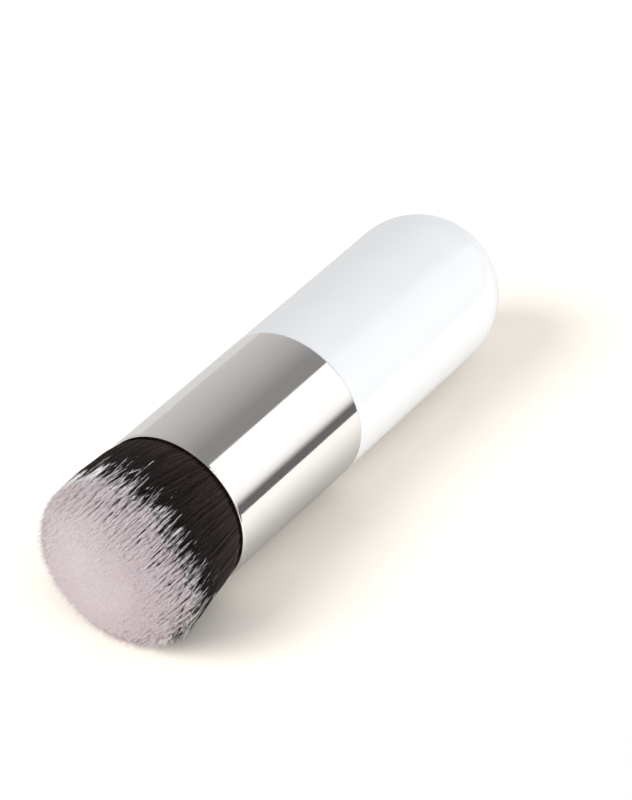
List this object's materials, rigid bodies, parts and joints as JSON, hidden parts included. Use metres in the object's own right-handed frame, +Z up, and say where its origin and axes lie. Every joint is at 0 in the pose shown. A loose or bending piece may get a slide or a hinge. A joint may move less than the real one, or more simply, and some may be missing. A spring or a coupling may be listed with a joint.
{
  "type": "foundation brush",
  "caption": "Foundation brush with a dense domed tuft, dark at its foot and pale at its tip, in a polished metal ferrule on a bullet-shaped gloss white handle.",
  "frame": {"origin": "on the surface that the brush lies on, under the middle of the whole brush", "axes": "+X along the brush from the handle to the bristles, +Y to the side that the tip of the tuft leans to, +Z up"},
  "size_m": [0.1012, 0.0278, 0.0267],
  "materials": {
    "handle_plastic": "gloss white moulded plastic",
    "ferrule_metal": "mirror-polished drawn aluminium",
    "cup_plastic": "matte black moulded plastic",
    "glue": "cured clear amber epoxy",
    "dark_fibre": "fine synthetic filament dyed brown-black",
    "pale_fibre": "fine synthetic filament dyed pale pinkish grey"
  },
  "bodies": {
    "root": {"handle_shell": "handle_plastic", "ferrule_tube": "ferrule_metal", "bristle_cup": "cup_plastic", "root_glue": "glue", "spigot_glue_rings": "glue", "dark_bristles": "dark_fibre", "pale_bristles": "pale_fibre"}
  },
  "joints": []
}
